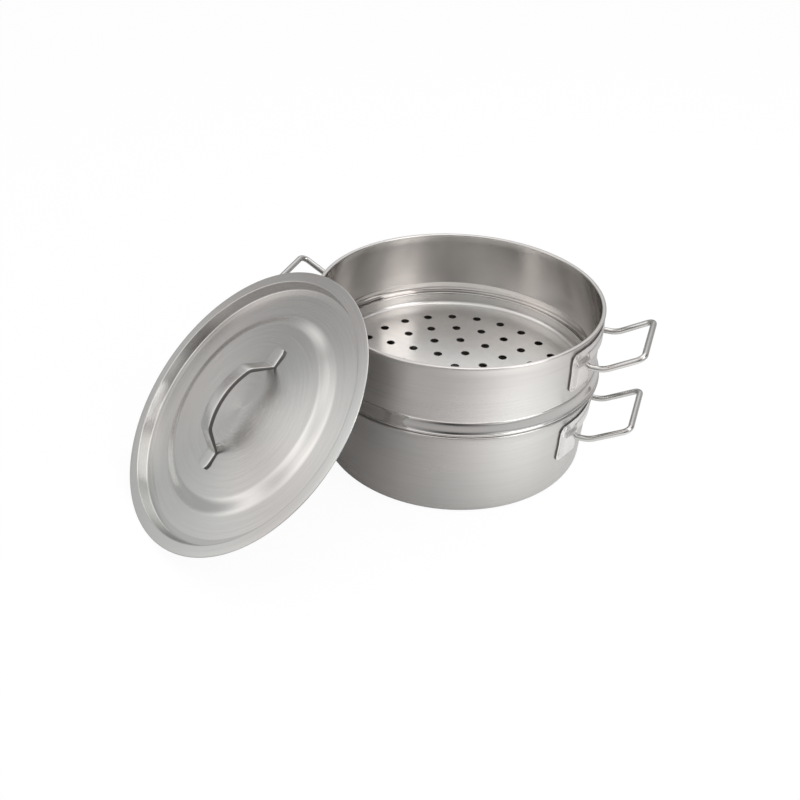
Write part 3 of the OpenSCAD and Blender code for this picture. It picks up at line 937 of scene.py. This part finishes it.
def make_strap(material, shade_edge_material):
    """A bent strap with its edges turned down along the arch."""
    path = strap_path()
    last = len(path) - 1
    end_l, end_in = STRAP_END
    verts, faces = [], []
    for i, (s, h) in enumerate(path):
        a, b = path[max(i - 1, 0)], path[min(i + 1, last)]
        way = Vector((b[0] - a[0], b[1] - a[1])).normalized()
        up = Vector((-way.y, way.x))
        foot = smooth((abs(s) - STRAP_ARCH_HALF) / (STRAP_FOOT - STRAP_ARCH_HALF))
        lift = foot * (STRAP_FOOT_LIP - STRAP_T - STRAP_FOOT_SINK)
        end = max((abs(s) - (STRAP_HALF_L - end_l)) / end_l, 0.0)
        wide = STRAP_W / 2 - end_in * (1 - math.sqrt(max(1 - end * end, 0.0)))
        ring = strap_ring(wide, mix(STRAP_LIP, STRAP_FOOT_LIP, foot))
        for across, high in ring:
            q = Vector((s, h)) + up * (high + lift)
            verts.append((q.x, across, q.y))
    size = len(ring)
    for i in range(last):
        bridge(i * size, (i + 1) * size, size, faces)
    faces.append(list(range(size)))
    faces.append([last * size + k for k in reversed(range(size))])
    place = lid_place() @ Matrix.Rotation(STRAP_TURN, 4, "Z")
    place = place @ Matrix.Translation((0, 0, STRAP_SEAT_Z * MM))
    piece = new_piece("lid_strap_v", verts, faces, material, "lid", ["lid_handle"],
                      sharp=40, place=place)
    # The turned-down edges and the outer part of their bends get the dark colour as painted shade
    give_material(piece, shade_edge_material, [i * size + k for i in range(last) for k in STRAP_SHADE_BANDS])
    return piece


# Stage, light and camera
def make_floor():
    """Pale paper: white to the camera but for the shadow, with pools of light that only metal
    and glass see."""
    size = PAPER_HALF
    mesh = bpy.data.meshes.new("floor")
    corners = [(-size, -size, 0.0), (size, -size, 0.0), (size, size, 0.0), (-size, size, 0.0)]
    mesh.from_pydata(corners, [], [(0, 1, 2, 3)])
    floor = bpy.data.objects.new("floor", mesh)
    bpy.context.scene.collection.objects.link(floor)
    material = bpy.data.materials.new("floor_paper")
    material.use_nodes = True
    n = Nodes(material.node_tree)
    out = n.add("ShaderNodeOutputMaterial")
    matt = n.add("ShaderNodeBsdfDiffuse")
    matt.inputs["Color"].default_value = PAPER_COLOUR
    white = n.add("ShaderNodeEmission")
    white.inputs["Strength"].default_value = PAPER_GLOW
    path = n.add("ShaderNodeLightPath")
    seen = n.add("ShaderNodeMixShader")
    n.link(n.math("MULTIPLY", path.outputs["Is Camera Ray"], PAPER_WHITE), seen.inputs[0])
    n.link(matt.outputs[0], seen.inputs[1])
    n.link(white.outputs[0], seen.inputs[2])
    place = n.add("ShaderNodeNewGeometry").outputs["Position"]
    pooled = 0.0
    for centre, half, bright in POOLS:
        reach = n.math("DIVIDE", n.vector("DISTANCE", place, centre), half)
        fall = n.math("EXPONENT", n.math("MULTIPLY", n.math("POWER", reach, 2.0), -0.5))
        pooled = n.math("MULTIPLY_ADD", fall, bright, pooled)
    glow = n.add("ShaderNodeEmission")
    n.link(n.math("MULTIPLY", n.mirrored(path), pooled), glow.inputs["Strength"])
    both = n.add("ShaderNodeAddShader")
    n.link(seen.outputs[0], both.inputs[0])
    n.link(glow.outputs[0], both.inputs[1])
    n.link(both.outputs[0], out.inputs[0])
    mesh.materials.append(material)


def panel_light(n, way, turn, rise, tightness, bright, total):
    """Adds one soft panel to the light that metal sees in a direction."""
    a, e = math.radians(FRONT + turn), math.radians(rise)
    toward = (math.cos(a) * math.cos(e), math.sin(a) * math.cos(e), math.sin(e))
    off = n.math("SUBTRACT", n.vector("DOT_PRODUCT", way, toward), 1.0)
    fall = n.math("EXPONENT", n.math("MULTIPLY", off, tightness))
    return n.math("MULTIPLY_ADD", fall, bright, total)


def make_world():
    """A white background, with soft panels round the studio for the metal to mirror."""
    world = bpy.data.worlds.new("studio")
    bpy.context.scene.world = world
    world.use_nodes = True
    n = Nodes(world.node_tree)
    out = n.add("ShaderNodeOutputWorld")
    way = n.add("ShaderNodeTexCoord").outputs["Generated"]
    total = 0.0
    for panels, rise, tightness in PANEL_ROWS:
        for turn, bright in panels.items():
            total = panel_light(n, way, turn, rise, tightness, bright, total)
    path = n.add("ShaderNodeLightPath")
    mirrored = n.mirrored(path)
    room = n.math("MULTIPLY", n.math("SUBTRACT", 1.0, mirrored), ROOM_LIGHT)
    room = n.math("MULTIPLY_ADD", mirrored, total, room)
    camera = path.outputs["Is Camera Ray"]
    hidden = n.math("MULTIPLY", n.math("SUBTRACT", 1.0, camera), room)
    light = n.add("ShaderNodeBackground")
    light.inputs["Color"].default_value = (1.0, 1.0, 1.0, 1.0)
    n.link(n.math("ADD", camera, hidden), light.inputs["Strength"])
    n.link(light.outputs[0], out.inputs[0])


def soft_box(name, place, size, power):
    """A wide lamp that shines on the middle of the stack, unseen by the camera."""
    lamp = bpy.data.lights.new(name, "AREA")
    lamp.shape = "RECTANGLE"
    lamp.size, lamp.size_y = size
    lamp.energy = power
    obj = bpy.data.objects.new(name, lamp)
    bpy.context.scene.collection.objects.link(obj)
    obj.location = place
    way = Vector(LAMP_TARGET) - Vector(place)
    obj.rotation_euler = way.to_track_quat("-Z", "Y").to_euler()
    obj.visible_camera = False


def make_camera():
    """The camera that was fitted to the photograph."""
    data = bpy.data.cameras.new("camera")
    data.lens = CAMERA_LENS
    data.sensor_width = 36.0
    data.clip_start = 0.01
    data.clip_end = 50.0
    camera = bpy.data.objects.new("camera", data)
    bpy.context.scene.collection.objects.link(camera)
    camera.location = CAMERA_PLACE
    camera.rotation_euler = [math.radians(a) for a in CAMERA_ANGLES]
    bpy.context.scene.camera = camera


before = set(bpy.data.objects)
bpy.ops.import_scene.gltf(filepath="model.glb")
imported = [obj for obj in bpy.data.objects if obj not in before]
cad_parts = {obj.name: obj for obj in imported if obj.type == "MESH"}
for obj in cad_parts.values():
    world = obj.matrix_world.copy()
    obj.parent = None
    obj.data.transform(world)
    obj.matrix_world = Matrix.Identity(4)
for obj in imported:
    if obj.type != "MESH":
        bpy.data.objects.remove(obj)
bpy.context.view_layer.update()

pot_steel = steel("satin_pot", (0.565, 0.548, 0.535), 0.29, aniso=0.86)
steamer_steel = steel("satin_steamer", (0.645, 0.628, 0.614), 0.29, aniso=0.86,
                      polished=(SEAT_Z, CREASE_Z))
# Inside of the steamer's wall: the same steel made darker, as painted shade
shaded_inside_steel = steel("satin_inside_painted_shade", (0.56, 0.545, 0.532), 0.21, aniso=0.9, streak=0.015,
                     wear=0.01)
# Perforated plate: paler than the wall as painted light; its higher roughness is its own duller
# finish
lit_plate_steel = steel("punched_plate_painted_light", (0.755, 0.74, 0.726), 0.40, grain="none", bump=0.01)
# Brackets: paler than the vessel steel, as painted light
lit_bracket_steel = steel("pressed_bracket_painted_light", (0.72, 0.704, 0.697), 0.24, grain="none", bump=0.02)
# Wire: darker than the vessel steel, as painted shade for its shaded underside
shaded_wire_steel = steel("wire_painted_shade", (0.545, 0.537, 0.527), 0.23, grain="none", bump=0.02)
lid_steel = steel("turned_lid", (0.612, 0.60, 0.587), 0.235, aniso=0.87)
# Dark colour on the hole edges, the bracket sides and the strap's turned-down edges: painted shade
shade_edge_steel = steel("painted_shade_edge", (0.20, 0.192, 0.185), 0.5, grain="none", bump=0.02)
strap_steel = steel("satin_strap", (0.60, 0.588, 0.577), 0.26, grain="along")

make_pot(pot_steel)
make_steamer(steamer_steel, shaded_inside_steel, lit_plate_steel, shade_edge_steel)
for body, wall_r, top_z in (("pot", pot_wall_r, POT_BRACKET_Z),
                            ("steamer", steamer_wall_r, STEAMER_BRACKET_Z)):
    for side, flip in (("right", False), ("left", True)):
        make_bracket(body + "_bracket_" + side, wall_r, top_z, flip, lit_bracket_steel, shade_edge_steel,
                     body)
        make_wire(body + "_handle_" + side, wall_r, top_z, flip, shaded_wire_steel, body)
make_lid(lid_steel)
make_strap(strap_steel, shade_edge_steel)

make_floor()
make_world()
for name, place, size, power in LAMPS:
    soft_box(name, place, size, power)
make_camera()
bpy.context.scene.view_settings.view_transform = "Standard"

bpy.context.view_layer.update()
